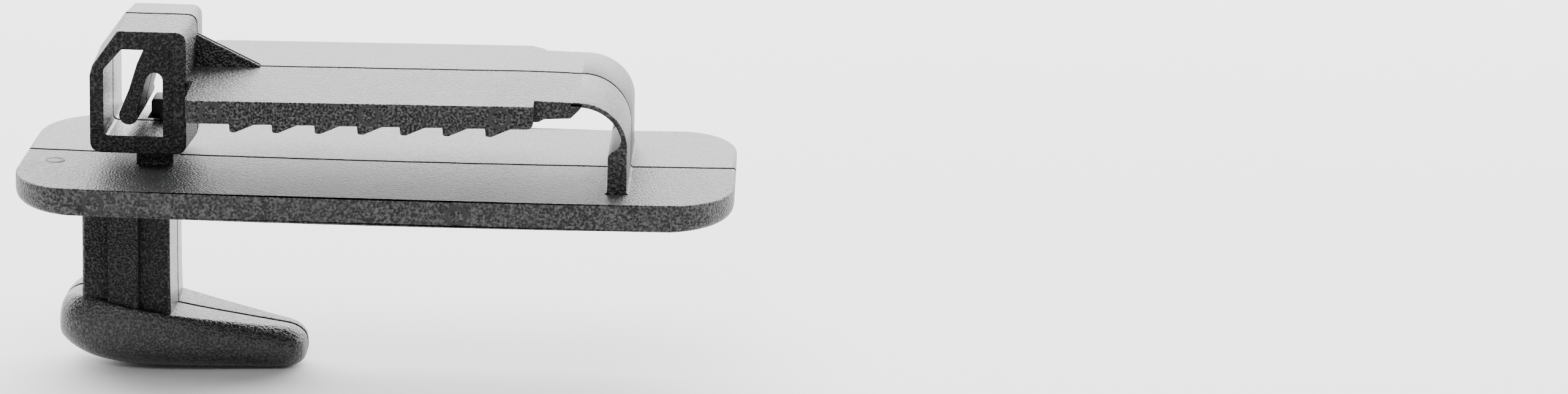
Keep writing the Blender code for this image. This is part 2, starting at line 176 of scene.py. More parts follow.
def ejector_mark(builder, centre, y, inwards):
    """Ring groove and its inner disc. Returns the outer loop, which is a hole in the face."""
    loops = []
    for radius, depth in ((MARK_RADIUS + MARK_RING, 0.0),
                          (MARK_RADIUS + MARK_RING / 3, MARK_DEPTH),
                          (MARK_RADIUS - MARK_RING / 3, MARK_DEPTH),
                          (MARK_RADIUS - MARK_RING, 0.0)):
        points = arc_points(centre, radius, 0, 360 - 360 / MARK_POINTS, MARK_POINTS - 1)
        loops.append([builder.verts.new((x, y + inwards * depth, z)) for x, z in points])
    for first, second in zip(loops, loops[1:]):
        strip(builder, first, second)
    builder.faces.new(loops[-1])
    return loops[0]


def mould_levels(near, far, draft_deg, edge=EDGE, seam=True):
    """Levels (y, draft inset, edge inset) from the near face to the far face of a drafted body."""
    slope = math.tan(math.radians(draft_deg))
    levels = []
    for step in range(EDGE_STEPS + 1):
        angle = math.pi / 2 * step / EDGE_STEPS
        y = near + edge * (1 - math.cos(angle))
        levels.append((y, abs(y) * slope, edge * (1 - math.sin(angle))))
    if seam and near < -SEAM_WIDTH < SEAM_WIDTH < far:
        half = SEAM_WIDTH / 2
        for y, depth in ((-half, 0.0), (-half / 3, SEAM_DEPTH),
                         (half / 3, SEAM_DEPTH), (half, 0.0)):
            levels.append((y, 0.0, depth))
    for step in range(EDGE_STEPS, -1, -1):
        angle = math.pi / 2 * step / EDGE_STEPS
        y = far - edge * (1 - math.cos(angle))
        levels.append((y, abs(y) * slope, edge * (1 - math.sin(angle))))
    return levels


def moulded(corners, levels, holes=(), drafts=None, marks=()):
    """Body moulded along Y, with holes through it and ejector marks in its near face.

    corners is one outline, or a function that gives the outline at a depth y.
    """
    builder = bmesh.new()
    rows = []
    for y, draft, edge in levels:
        shape = corners(y) if callable(corners) else corners
        moved = inset_corners(shape, draft, drafts or [1.0] * len(shape))
        drafted = [(p.x, p.y, c[2]) for p, c in zip(moved, shape)]
        row = [[builder.verts.new((p.x, y, p.y)) for p in outline_ring(drafted, edge)]]
        for hole in holes:
            ring = outline_ring(hole, -(draft * HOLE_DRAFT_SHARE + edge))
            row.append([builder.verts.new((p.x, y, p.y)) for p in ring])
        rows.append(row)
    for lower, upper in zip(rows, rows[1:]):
        for first, second in zip(lower, upper):
            strip(builder, first, second)
    near_y = levels[0][0]
    mark_loops = [ejector_mark(builder, mark, near_y, 1) for mark in marks]
    flat_cap(builder, rows[0] + mark_loops)
    flat_cap(builder, rows[-1])
    return builder


def open_slot(builder, low, high):
    """Cut a straight opening through a body and return the body that is left."""
    parts = []
    blocks = bmesh.new()
    bmesh.ops.create_cube(blocks, size=1.0)
    for vertex in blocks.verts:
        for axis in range(3):
            vertex.co[axis] = low[axis] if vertex.co[axis] < 0 else high[axis]
    bmesh.ops.recalc_face_normals(builder, faces=builder.faces)
    for source in (builder, blocks):
        mesh = bpy.data.meshes.new("cutting")
        source.to_mesh(mesh)
        source.free()
        part = bpy.data.objects.new("cutting", mesh)
        bpy.context.scene.collection.objects.link(part)
        parts.append(part)
    cutting = parts[0].modifiers.new("slot", "BOOLEAN")
    cutting.operation = "DIFFERENCE"
    cutting.solver = "EXACT"
    cutting.object = parts[1]
    shown = parts[0].evaluated_get(bpy.context.evaluated_depsgraph_get())
    left = bmesh.new()
    left.from_mesh(shown.to_mesh())
    shown.to_mesh_clear()
    for part in parts:
        bpy.data.objects.remove(part, do_unlink=True)
    return left


def dull_marks(piece, marks, material):
    """Give the ring grooves of a piece's ejector marks a material of their own."""
    piece.data.materials.append(material)
    index = len(piece.data.materials) - 1
    for polygon in piece.data.polygons:
        centre = polygon.center / MM
        for x, z in marks:
            distance = math.hypot(centre.x - x, centre.z - z)
            if polygon.normal.y < 0 and abs(distance - MARK_RADIUS) < MARK_RING:
                polygon.material_index = index


def finish_piece(name, builder, material, body, nodes=(), sharp=42):
    """Turn a bmesh in millimetres into a piece that rides on a CAD body."""
    bmesh.ops.remove_doubles(builder, verts=builder.verts, dist=1e-5)
    bmesh.ops.recalc_face_normals(builder, faces=builder.faces)
    mesh = bpy.data.meshes.new(name)
    builder.to_mesh(mesh)
    builder.free()
    mesh.transform(Matrix.Scale(MM, 4))
    mesh.shade_smooth()
    mesh.set_sharp_from_angle(angle=math.radians(sharp))
    mesh.materials.append(material)
    piece = bpy.data.objects.new(name, mesh)
    bpy.context.scene.collection.objects.link(piece)
    weighted = piece.modifiers.new("even_shading", "WEIGHTED_NORMAL")
    weighted.keep_sharp = True
    if body is not None:
        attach(piece, body)
    if nodes:
        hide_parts(*nodes)
    return piece


# ---------------------------------------------------------------------------------------------
# Materials
# ---------------------------------------------------------------------------------------------

class NodeMaker:
    """Short way to add and join shader nodes."""

    def __init__(self, material):
        material.use_nodes = True
        self.tree = material.node_tree
        self.shader = self.tree.nodes["Principled BSDF"]

    def add(self, kind, **settings):
        """New node with its settings."""
        node = self.tree.nodes.new(kind)
        for key, value in settings.items():
            setattr(node, key, value)
        return node

    def join(self, source, target):
        """Link an output to an input."""
        self.tree.links.new(source, target)

    def feed(self, value, target):
        """Give an input a number or another node's output."""
        if isinstance(value, (int, float)):
            target.default_value = value
        else:
            self.join(value, target)

    def noise(self, vector, scale, detail, rough):
        """Noise between 0 and 1."""
        node = self.add("ShaderNodeTexNoise")
        node.inputs["Scale"].default_value = scale
        node.inputs["Detail"].default_value = detail
        node.inputs["Roughness"].default_value = rough
        self.join(vector, node.inputs["Vector"])
        return node.outputs["Fac"]

    def spread(self, value, low, high, out_low, out_high):
        """Map a value from one range onto another, held at its ends."""
        node = self.add("ShaderNodeMapRange")
        for socket, number in (("From Min", low), ("From Max", high), ("To Min", out_low),
                               ("To Max", out_high)):
            node.inputs[socket].default_value = number
        self.join(value, node.inputs["Value"])
        return node.outputs["Result"]

    def maths(self, operation, first, second):
        """Result of a sum, product or other operation."""
        node = self.add("ShaderNodeMath", operation=operation)
        for socket, value in zip(node.inputs, (first, second)):
            self.feed(value, socket)
        return node.outputs["Value"]

    def blend_values(self, factor, first, second):
        """Mix of two values."""
        node = self.add("ShaderNodeMix", data_type="FLOAT")
        for index, value in ((0, factor), (2, first), (3, second)):
            self.feed(value, node.inputs[index])
        return node.outputs[0]


FINE_GRAIN_RATIO = 2.6      # the finest grain against the main grain
FINE_GRAIN_SHARE = 0.35
LEAST_FINE_GRAIN = 0.15
CLOUD_SCALE = 140           # per metre: slow change in how strong the grain is
HALVES_BLEND = 0.00005      # half width in metres of the change between the two halves
GLINT_SWING = 0.8           # change in specular level from grain to grain
NYLON_BLACK = (0.008, 0.008, 0.0088, 1.0)
# Lightness of the light specks painted into the base colour: painted glints on the grain
PAINTED_GLINT_SPECK = 0.034
PAINTED_GLINT_BLUE = 1.06
NYLON_IOR = 1.53


def nylon(name, grain, smooth_roughness, grain_roughness, back_grain=None, painted_glint=PAINTED_GLINT_SPECK,
          shine=0.5):
    """Black nylon with a spark-eroded grain.

    back_grain is the grain's strength on the back half, where that differs. speck is how light the
    painted glint specks in the base colour are, and shine is the mean specular level.
    """
    material = bpy.data.materials.new(name)
    make = NodeMaker(material)
    place = make.add("ShaderNodeTexCoord").outputs["Object"]
    coarse = make.noise(place, GRAIN_SCALE, 1.5, 0.5)
    fine = make.noise(place, GRAIN_SCALE * FINE_GRAIN_RATIO, 2.0, 0.6)
    cloudy = make.noise(place, CLOUD_SCALE, 3.0, 0.6)

    parts = make.add("ShaderNodeSeparateXYZ")
    make.join(place, parts.inputs["Vector"])
    amount = make.spread(cloudy, 0.3, 0.7, grain * 0.8, grain * 1.15)
    if back_grain is not None:
        behind = make.spread(parts.outputs["Y"], -HALVES_BLEND, HALVES_BLEND, 0.0, 1.0)
        amount = make.blend_values(behind, amount, back_grain)
    pits = make.spread(coarse, 0.36, 0.64, 0.0, 1.0)
    fine_amount = FINE_GRAIN_SHARE * max(grain, LEAST_FINE_GRAIN)
    height = make.maths("ADD", make.maths("MULTIPLY", pits, amount),
                        make.maths("MULTIPLY", fine, fine_amount))
    bump = make.add("ShaderNodeBump")
    bump.inputs["Strength"].default_value = 1.0
    bump.inputs["Distance"].default_value = GRAIN_DEPTH
    make.join(height, bump.inputs["Height"])
    make.join(bump.outputs["Normal"], make.shader.inputs["Normal"])

    rough = make.spread(coarse, 0.35, 0.65, smooth_roughness, grain_roughness)
    make.join(rough, make.shader.inputs["Roughness"])

    away = make.maths("ABSOLUTE", parts.outputs["Y"], 0.0)
    # clear is 0 on the parting line: a line of painted shade in the seam's groove, with no specular
    # level and no light specks
    clear = make.spread(away, SEAM_SHADE * 0.7, SEAM_SHADE, 0.0, 1.0)
    glint = make.maths("MULTIPLY", make.spread(coarse, 0.38, 0.62, -1.0, 1.0), amount)
    gloss = make.maths("ADD", make.maths("MULTIPLY", glint, GLINT_SWING * shine), shine)
    make.shader.inputs["Specular IOR Level"].default_value = shine
    make.join(make.maths("MULTIPLY", gloss, clear), make.shader.inputs["Specular IOR Level"])

    # Light specks that the grain noise paints into the base colour are painted glints; they drop
    # out on the seam's painted shade line
    painted_glint_amount = make.maths("MULTIPLY", make.spread(coarse, 0.5, 0.68, 0.0, 1.0), amount)
    painted_glint_ramp = make.add("ShaderNodeValToRGB")
    painted_glint_ramp.color_ramp.elements[0].color = NYLON_BLACK
    painted_glint_ramp.color_ramp.elements[1].color = (painted_glint, painted_glint, painted_glint * PAINTED_GLINT_BLUE, 1.0)
    make.join(make.maths("MULTIPLY", painted_glint_amount, clear), painted_glint_ramp.inputs["Fac"])
    make.join(painted_glint_ramp.outputs["Color"], make.shader.inputs["Base Color"])
    make.shader.inputs["IOR"].default_value = NYLON_IOR
    return material


# ---------------------------------------------------------------------------------------------
# Base: plate, shank, foot, stem, post
# ---------------------------------------------------------------------------------------------

PLATE_CORNER_ALONG = 5.4
PLATE_CORNER_ACROSS = 7.2
PLATE_LOWER_RADIUS = 1.1
PLATE_UPPER_RADIUS = 0.3
PLATE_BOW = 0.26            # the two ends curl up by this much
PLATE_SPANS = 24
PLATE_CORNER_LEVELS = 12
PLATE_MARKS = ((-24.97, 1.16), (7.92, 1.14))
GATE = (-29.92, -3.81)      # ring round the mark left by the gate, (x, y)
GATE_RADIUS = 0.8
GATE_RING_HALF = 0.14
RIB_MARK = (-23.49, -6.95)
RIB_RING_HALF = 0.09
RING_LIFT = 0.03
RING_ROOT = -0.05           # a ring's foot is sunk into the face by this much
RING_TOP_SHARE = 0.6
RING_POINTS = 40


def plate_end(y, half_width, half_length):
    """Half length of the plate at depth y: its plan corners are quarter ellipses."""
    share = max(0.0, abs(y) - half_width + PLATE_CORNER_ACROSS) / PLATE_CORNER_ACROSS
    return half_length - PLATE_CORNER_ALONG * (1 - math.sqrt(max(0.0, 1 - share ** 2)))


def plate_profile(y):
    """Side view of the plate at depth y, split along X so that it can bow."""
    low, high = limits("base_plate")
    end = plate_end(y, high.y, high.x)
    spans = [end * (2 * i / PLATE_SPANS - 1) for i in range(1, PLATE_SPANS)]
    lower = [(x, low.z, 0.0) for x in spans]
    upper = [(x, high.z, 0.0) for x in reversed(spans)]
    return ([(-end, low.z, PLATE_LOWER_RADIUS)] + lower + [(end, low.z, PLATE_LOWER_RADIUS)]
            + [(end, high.z, PLATE_UPPER_RADIUS)] + upper + [(-end, high.z, PLATE_UPPER_RADIUS)])


def plate_levels():
    """Depths of the plate's sections, close together where the plan corners turn."""
    low, high = limits("base_plate")
    levels = mould_levels(low.y, high.y, 0.0)
    straight = high.y - PLATE_CORNER_ACROSS
    turns = []
    for step in range(PLATE_CORNER_LEVELS + 1):
        angle = math.pi / 2 * step / (PLATE_CORNER_LEVELS + 1)
        turns.append(straight + PLATE_CORNER_ACROSS * math.sin(angle))
    turns = [y for y in turns if y < high.y - EDGE]
    levels += [(sign * y, 0.0, 0.0) for y in turns for sign in (-1, 1)]
    return sorted(levels)


def plate_lift(x):
    """Height that the bow adds at x."""
    return PLATE_BOW * (x / limits("base_plate")[1].x) ** 2


def make_plate(materials):
    """Plate with a full radius under its two ends, a crisp edge elsewhere and two ejector marks."""
    builder = moulded(plate_profile, plate_levels(), marks=PLATE_MARKS)
    for vertex in builder.verts:
        vertex.co.z += plate_lift(vertex.co.x)
    plate = finish_piece("plate", builder, materials["side"], "base", ("base_plate",))
    dull_marks(plate, [(x, z + plate_lift(x)) for x, z in PLATE_MARKS], materials["groove"])


def add_ring(builder, centre, normal, radius, half_width):
    """Low closed ring that stands on a face."""
    turn = normal.to_track_quat("Z", "Y").to_matrix()
    top_half = half_width * RING_TOP_SHARE
    section = ((-half_width, RING_ROOT), (-top_half, RING_LIFT), (top_half, RING_LIFT),
               (half_width, RING_ROOT))
    loops = []
    for across, up in section:
        loop = []
        for step in range(RING_POINTS):
            angle = 2 * math.pi * step / RING_POINTS
            reach = radius + across
            place = Vector((reach * math.cos(angle), reach * math.sin(angle), up))
            loop.append(builder.verts.new(centre + turn @ place))
        loops.append(loop)
    for i in range(len(loops)):
        strip(builder, loops[i], loops[(i + 1) % len(loops)])


def surface_marks(materials):
    """Ring round the gate's mark on the plate, and the ejector mark on the shank's rib."""
    high = limits("base_plate")[1]
    builder = bmesh.new()
    gate = Vector((GATE[0], GATE[1], high.z + plate_lift(GATE[0])))
    add_ring(builder, gate, Vector((0, 0, 1)), GATE_RADIUS, GATE_RING_HALF)
    finish_piece("gate_mark", builder, materials["groove"], "base")
    rib = limits("shank_rib")[1]
    builder = bmesh.new()
    place = Vector((RIB_MARK[0], SHANK_RIB_FALL - rib.y, RIB_MARK[1]))
    add_ring(builder, place, Vector((0, -1, 0)), MARK_RADIUS, RIB_RING_HALF)
    finish_piece("rib_ejector_mark", builder, materials["groove"], "base")


SHANK_RIB_FALL = 0.12       # the rib's face stands this far inside the CAD rib
SHANK_FACET_DIP = 0.18      # the two side facets hollow slightly towards the rib
SHANK_RIB_EDGE = 0.2
SHANK_CORNER = 0.2
SHANK_END_FALL = 0.18       # the two ends stand out by this much at the parting line
SHANK_FACET_STEPS = 7
SHANK_FILLET = 0.45
SHANK_FILLET_SHARE = 0.8    # width of the fillet against its height
SHANK_FILLET_STEPS = 5
SHANK_TOP = 0.2             # the shank starts inside the plate
SHANK_FILLET_TOP = 0.02
SHANK_END_NORMAL = 0.8      # a face whose normal's X passes this is polished
# Height, and how far the plan spreads there
SHANK_LEVELS = ((-3.0, 0.0), (-6.0, 0.0), (-9.0, 0.02), (-10.0, 0.05), (-12.4, 0.1))


def shank_facet(start, width, side, spread, rising):
    """One facet beside the rib: it dips towards the rib, whichever end that is."""
    points = []
    for step in range(SHANK_FACET_STEPS + 1):
        t = step / SHANK_FACET_STEPS
        share = t if rising else 1 - t
        points.append((start + width * t, side - SHANK_FACET_DIP * share ** 2 + spread))
    return points


def shank_plan(spread):
    """Plan of the shank, a proud rib between two facets, from the front heel corner."""
    heel_low, heel_high = limits("shank_heel")
    rib_low, rib_high = limits("shank_rib")
    side = heel_high.y
    proud = rib_high.y - SHANK_RIB_FALL + spread
    left = heel_low.x - spread
    right = limits("shank_toe")[1].x + spread
    start = left + SHANK_CORNER
    end = right - SHANK_CORNER
    rim = [(left, side - SHANK_CORNER + spread)]
    rim += shank_facet(start, rib_low.x - left - SHANK_CORNER, side, spread, True)
    rim += [(rib_low.x + SHANK_RIB_EDGE, proud), (rib_high.x - SHANK_RIB_EDGE, proud)]
    rim += shank_facet(rib_high.x, end - rib_high.x, side, spread, False)
    rim.append((right, side - SHANK_CORNER + spread))
    right_end = []
    left_end = []
    for y, groove in ((-SEAM_WIDTH, 0), (-SEAM_WIDTH / 4, SEAM_DEPTH), (SEAM_WIDTH / 4, SEAM_DEPTH),
                      (SEAM_WIDTH, 0)):
        out = SHANK_END_FALL * (1 - abs(y) / side)
        right_end.append((right + out - groove, y))
        left_end.append((left - out + groove, -y))
    return [(x, -y) for x, y in rim] + right_end + rim[::-1] + left_end


def make_shank(materials):
    """Shank lofted from the plate's underside down into the foot, with a fillet at the plate."""
    levels = []
    for step in range(SHANK_FILLET_STEPS + 1):
        rise = math.sin(math.pi / 2 * step / SHANK_FILLET_STEPS)
        levels.append((-SHANK_FILLET * rise + SHANK_FILLET_TOP,
                       SHANK_FILLET * (1 - rise) * SHANK_FILLET_SHARE))
    levels[0] = (SHANK_TOP, levels[0][1])
    levels += SHANK_LEVELS
    builder = bmesh.new()
    rings = []
    for z, spread in levels:
        rings.append([builder.verts.new((x, y, z)) for x, y in shank_plan(spread)])
    for first, second in zip(rings, rings[1:]):
        strip(builder, first, second)
    for ring in (rings[0], rings[-1]):
        builder.faces.new(ring)
    # The shank takes the nylon copy darkened with painted shade
    shank = finish_piece("shank", builder, materials["fine"], "base",
                         ("shank_heel", "shank_rib", "shank_toe"), sharp=30)
    shank.data.materials.append(materials["smooth"])
    rib_low, rib_high = limits("shank_rib")
    for polygon in shank.data.polygons:
        x = polygon.center.x / MM
        on_edge = (rib_low.x < x < rib_low.x + SHANK_RIB_EDGE
                   or rib_high.x - SHANK_RIB_EDGE < x < rib_high.x)
        if on_edge or abs(polygon.normal.x) > SHANK_END_NORMAL:
            polygon.material_index = 1


# Foot: x, top, bottom, half width, half width of the flat top
FOOT_STATIONS = (
    (-30.05, -13.0, -14.1, 0.7, 0.1),
    (-29.85, -11.9, -14.75, 2.4, 0.8),
    (-29.3, -10.9, -15.25, 3.7, 1.6),
    (-28.2, -10.25, -15.95, 4.8, 3.0),
    (-26.5, -10.2, -16.65, 5.45, 4.3),
    (-24.0, -10.75, -17.15, 5.6, 5.0),
    (-21.0, -11.35, -17.38, 5.5, 5.0),
    (-17.0, -12.1, -17.44, 4.9, 3.9),
    (-13.0, -12.75, -17.47, 4.1, 2.5),
    (-10.0, -13.22, -17.5, 3.5, 1.4),
    (-8.2, -13.55, -17.35, 3.0, 0.9),
    (-7.2, -14.2, -16.8, 2.1, 0.4),
    (-6.87, -15.0, -15.9, 0.7, 0.1),
)
FOOT_ROWS = 5               # rows added between stations
FOOT_ROUND = 14             # points on a quarter of a section
FOOT_MIDDLE = 0.52          # height of a section's widest point
FOOT_SHOULDER = 0.93        # widest flat top against the half width
FOOT_SIDE_FULLNESS = 0.8    # below 1 the lower quarter is fuller than an ellipse
FOOT_DEPTH_FULLNESS = 0.85
FOOT_LEAST_HALF = 0.3
FOOT_LEAST_FLAT = 0.1


def smooth_between(values, i, t):
    """Catmull-Rom value between entries i and i + 1 of a list of tuples."""
    last = len(values) - 1
    p0, p1, p2, p3 = (values[max(0, min(last, k))] for k in (i - 1, i, i + 1, i + 2))
    return tuple(0.5 * (2 * b + (c - a) * t + (2 * a - 5 * b + 4 * c - d) * t * t
                        + (3 * b - a - 3 * c + d) * t ** 3) for a, b, c, d in zip(p0, p1, p2, p3))


def foot_section(top, bottom, half, flat):
    """Right half of a section from the top seam to the bottom seam, as (y, z)."""
    middle = bottom + (top - bottom) * FOOT_MIDDLE
    shoulder = min(flat, half * FOOT_SHOULDER)
    upper = [(SEAM_WIDTH / 4, top - SEAM_DEPTH), (SEAM_WIDTH / 2, top), (shoulder * 0.5, top),
             (shoulder, top)]
    rest = half - shoulder
    for step in range(1, FOOT_ROUND + 1):
        angle = math.pi / 2 * step / FOOT_ROUND
        upper.append((shoulder + rest * math.sin(angle), middle + (top - middle) * math.cos(angle)))
    lower = []
    for step in range(1, FOOT_ROUND):
        angle = math.pi / 2 * step / FOOT_ROUND
        lower.append((half * math.cos(angle) ** FOOT_SIDE_FULLNESS,
                      middle - (middle - bottom) * math.sin(angle) ** FOOT_DEPTH_FULLNESS))
    return upper + lower + [(SEAM_WIDTH / 2, bottom), (SEAM_WIDTH / 4, bottom + SEAM_DEPTH)]


def make_foot(material):
    """Hook foot: a heel that swells out under the shank and a toe that narrows to a blunt end."""
    builder = bmesh.new()
    rings = []
    for i in range(len(FOOT_STATIONS) - 1):
        for step in range(FOOT_ROWS):
            rings.append(smooth_between(FOOT_STATIONS, i, step / FOOT_ROWS))
    rings.append(FOOT_STATIONS[-1])
    low, high = limits("hook_foot")
    loops = []
    for x, top, bottom, half, flat in rings:
        x = min(max(x, low.x), high.x)
        half = max(half, FOOT_LEAST_HALF)
        side = foot_section(top, max(bottom, low.z), min(half, high.y), max(flat, FOOT_LEAST_FLAT))
        points = [(y, z) for y, z in side] + [(-y, z) for y, z in reversed(side)]
        loops.append([builder.verts.new((x, y, z)) for y, z in points])
    for first, second in zip(loops, loops[1:]):
        strip(builder, first, second)
    for loop in (loops[0], loops[-1]):
        builder.faces.new(loop)
    finish_piece("hook_foot_skin", builder, material, "base", ("hook_foot",), sharp=60)


def flared_block(left, right, bottom, top, fillet):
    """Corners of a block that flares out onto the face that it stands on."""
    return [(left - fillet, bottom - 0.1, 0.0), (right + fillet, bottom - 0.1, 0.0),
            (right + fillet, bottom, 0.0), (right + fillet * 0.35, bottom + fillet * 0.12, 0.1),
            (right + fillet * 0.08, bottom + fillet * 0.45, 0.1), (right, bottom + fillet, 0.1),
            (right, top, 0.0), (left, top, 0.0), (left, bottom + fillet, 0.1),
            (left - fillet * 0.08, bottom + fillet * 0.45, 0.1),
            (left - fillet * 0.35, bottom + fillet * 0.12, 0.1), (left - fillet, bottom, 0.0)]


CATCH_NECK_LEFT = -20.9
CATCH_UNDERSIDE = 6.1
CATCH_NOSE = 0.2
STEM_FILLET = 0.3
STEM_DRAFT = 1.5
# The bottom, the flare's two lips and the top aren't drafted
STEM_DRAFTS = (0, 0, 1, 1, 1, 1, 0, 1, 1, 1, 1, 0)


def make_stem(materials):
    """Stem under the latch box, and the hooked catch that stands up through the box's floor."""
    low, high = limits("latch_stem")
    plate_top = limits("base_plate")[1].z
    catch_low, catch_high = limits("catch_head")
    corners = flared_block(low.x, high.x, plate_top, catch_low.z - 0.05, STEM_FILLET)
    builder = moulded(corners, mould_levels(low.y, high.y, STEM_DRAFT), drafts=STEM_DRAFTS)
    finish_piece("stem", builder, materials["side"], "base", ("latch_stem",))
    foot = catch_low.z - 0.1
    corners = [(CATCH_NECK_LEFT, foot, 0), (catch_high.x, foot, 0),
               (catch_high.x, catch_high.z, 0.1),
               (catch_low.x + CATCH_NOSE, catch_high.z, 0.1),
               (catch_low.x, catch_high.z - CATCH_NOSE, 0.1),
               (catch_low.x, CATCH_UNDERSIDE, 0.1), (CATCH_NECK_LEFT, CATCH_UNDERSIDE, 0.1)]
    builder = moulded(corners, mould_levels(catch_low.y, catch_high.y, 0.0, seam=False))
    finish_piece("catch", builder, materials["groove"], "base", ("catch_head",))


# ---------------------------------------------------------------------------------------------
# Arm: latch box, pawl, gusset, strap, teeth and neck
# ---------------------------------------------------------------------------------------------

BOX_DRAFT = 2.9
BOX_DRAFTS = (0.1, 1, 1.35, 1, 0.6, 0.33)    # floor, right, top, chamfer, its lower end, left
# In from the left side, down from the top, radius
BOX_CHAMFER = ((2.6, 0.0, 0.3), (0.3, 3.25, 0.25), (0.0, 4.3, 0.3))
BOX_CAVITY = ((-25.05, 5.8, 0.55), (-18.78, 5.8, 0.45), (-18.78, 13.84, 0.35),
              (-23.4, 13.84, 0.25), (-25.05, 11.95, 0.3))
# Two corners (x, z) of a frame just outside the cavity's walls
BOX_INSIDE = (Vector((-25.3, 5.55)), Vector((-18.5, 14.1)))
SLOT_CLEARANCE = 0.35


def make_box(materials):
    """Closed ring of the latch box, with a slot in its floor for the catch."""
    low, high = limits("latch_box")
    corners = [(low.x, low.z, 1.1), (high.x, low.z, 1.1), (high.x, high.z, 1.0)]
    corners += [(low.x + across, high.z - down, radius) for across, down, radius in BOX_CHAMFER]
    levels = mould_levels(low.y, high.y, BOX_DRAFT)
    builder = moulded(corners, levels, holes=(BOX_CAVITY,), drafts=BOX_DRAFTS)
    catch_low, catch_high = limits("catch_head")
    slot_low = (catch_low.x - SLOT_CLEARANCE, catch_low.y - SLOT_CLEARANCE, low.z - 1)
    slot_high = (catch_high.x + SLOT_CLEARANCE, catch_high.y + SLOT_CLEARANCE, CATCH_UNDERSIDE)
    builder = open_slot(builder, slot_low, slot_high)
    # The box's front and back faces keep the nylon copy darkened with painted shade
    box = finish_piece("latch_ring", builder, materials["fine"], "arm", ("latch_box",))
    for name in ("side", "smooth"):
        box.data.materials.append(materials[name])
    inner_low, inner_high = BOX_INSIDE
    for polygon in box.data.polygons:
        if abs(polygon.normal.y) >= FACES_ALONG_Y:
            continue
        centre = polygon.center / MM
        inside = inner_low.x < centre.x < inner_high.x and inner_low.y < centre.z < inner_high.y
        polygon.material_index = 2 if inside else 1


HAIRPIN_GAP = (-20.45, 10.95)
HAIRPIN_GAP_RADIUS = 0.72
HAIRPIN_TIP = (-22.83, 7.62)
HAIRPIN_TIP_RADIUS = 0.92
HAIRPIN_DRAFT = 0.4
CROWN_TOP_LEFT = -21.4
CROWN_SIDE = ((-21.5, 13.8, 0.1), (-22.03, 12.6, 0.15), (-21.75, 11.6, 0.1))
LEG_ROOT = ((-20.95, 12.05, 0.2), (-21.1, 13.2, 0.2), (-21.78, 13.1, 0.2), (-22.06, 12.55, 0.3),
            (-22.81, 10.1, 1.5))
LEG_INNER_SIDE = ((-21.78, 8.7, 0.4), (-21.4, 10.4, 0.6), (-21.15, 11.2, 0.2))
LEG_SETBACK = 0.03          # keeps the leg's end faces clear of the crown's


def make_hairpin(materials):
    """Fixed leg and crown of the hairpin, and its free leg with a round tip."""
    right = BOX_CAVITY[1][0] + BLEND_OVERLAP
    top = BOX_CAVITY[2][1] + BLEND_OVERLAP
    foot = BOX_CAVITY[0][1] - BLEND_OVERLAP
    low, high = limits("pawl_anchor")
    crown = [(x, z, 0.0) for x, z in arc_points(HAIRPIN_GAP, HAIRPIN_GAP_RADIUS, 160, 0, 12)]
    inner = HAIRPIN_GAP[0] + HAIRPIN_GAP_RADIUS
    corners = [(inner, foot, 0.0), (right, foot, 0.0), (right, top, 0.0),
               (CROWN_TOP_LEFT, top, 0.0), *CROWN_SIDE, *crown]
    builder = moulded(corners, mould_levels(low.y, high.y, HAIRPIN_DRAFT))
    # Both hairpin pieces take the nylon copy darkened with painted shade
    finish_piece("hairpin_root", builder, materials["fine"], "arm", ("pawl_anchor",))
    tip = [(x, z, 0.0) for x, z in arc_points(HAIRPIN_TIP, HAIRPIN_TIP_RADIUS, 150, 382, 20)]
    low, high = limits("pawl_leg")
    levels = mould_levels(low.y + LEG_SETBACK, high.y - LEG_SETBACK, HAIRPIN_DRAFT)
    builder = moulded([*LEG_ROOT, *tip, *LEG_INNER_SIDE], levels)
    finish_piece("hairpin_leg", builder, materials["fine"], "pawl", ("pawl_leg",))


STRAP_RISE_START = -16.9
STRAP_RISE_SLOPE = math.tan(math.radians(0.6))
STRAP_DRAFT = 2.0
TEETH = tuple(f"tooth_{i}" for i in range(1, 8))


def strap_rise(x):
    """The strap rises towards its hinge."""
    return (x - STRAP_RISE_START) * STRAP_RISE_SLOPE


def tooth_corners(x, base, depth):
    """Corners of one tooth from its steep left side to the end of its long right side."""
    root = base + strap_rise(x)
    tip = base - depth + strap_rise(x)
    return [(x, root, 0.12), (x + 0.06, tip + 0.05, 0.2), (x + 0.62, tip, 0.3),
            (x + 2.35, root, 0.5)]


STRAP_CORNER = 0.8          # plan radius of the strap's corners at the box
STRAP_ROOT_HALF = 5.7       # the strap runs into the box over this half width
STRAP_EASE_START = 10.4     # behind this depth the strap narrows towards the neck
STRAP_EASE = 1.25
STRAP_EASE_STEP = 0.45
STRAP_SIDE_DRAFT = 0.15     # share of the draft on the teeth
STRAP_MARKS = ((-14.53, 9.74), (-0.19, 9.9), (11.6, 10.0))


def strap_left(y, start, half_width, root):
    """Left end of the strap at depth y."""
    if abs(y) <= STRAP_ROOT_HALF:
        return root
    share = max(0.0, abs(y) - half_width + STRAP_CORNER) / STRAP_CORNER
    return start + STRAP_CORNER * (1 - math.sqrt(max(0.0, 1 - share ** 2)))


def strap_right(y, end, half_width):
    """Right end of the strap at depth y: square in front, and eased into the neck behind."""
    share = min(1.0, max(0.0, (y - STRAP_EASE_START) / (half_width - STRAP_EASE_START)))
    return end - STRAP_EASE * share * share * (3 - 2 * share)


def strap_outline(y):
    """Side view of the toothed strap at depth y."""
    low, high = limits("strap_bar")
    root = limits("latch_box")[1].x - BLEND_OVERLAP
    top_left = high.z - strap_rise(high.x) + 0.02
    base = limits("rack_heel")[0].z
    depth = base - limits(TEETH[0])[0].z
    left = strap_left(y, low.x, high.y, root)
    right = strap_right(y, high.x, high.y)
    corners = [(right, high.z, 0.1), (left, top_left, 0.0), (left, base, 0.1)]
    for tooth in TEETH:
        corners += tooth_corners(limits(tooth)[0].x, base, depth)
    corners.append((right, base + strap_rise(high.x), 0.6))
    return corners


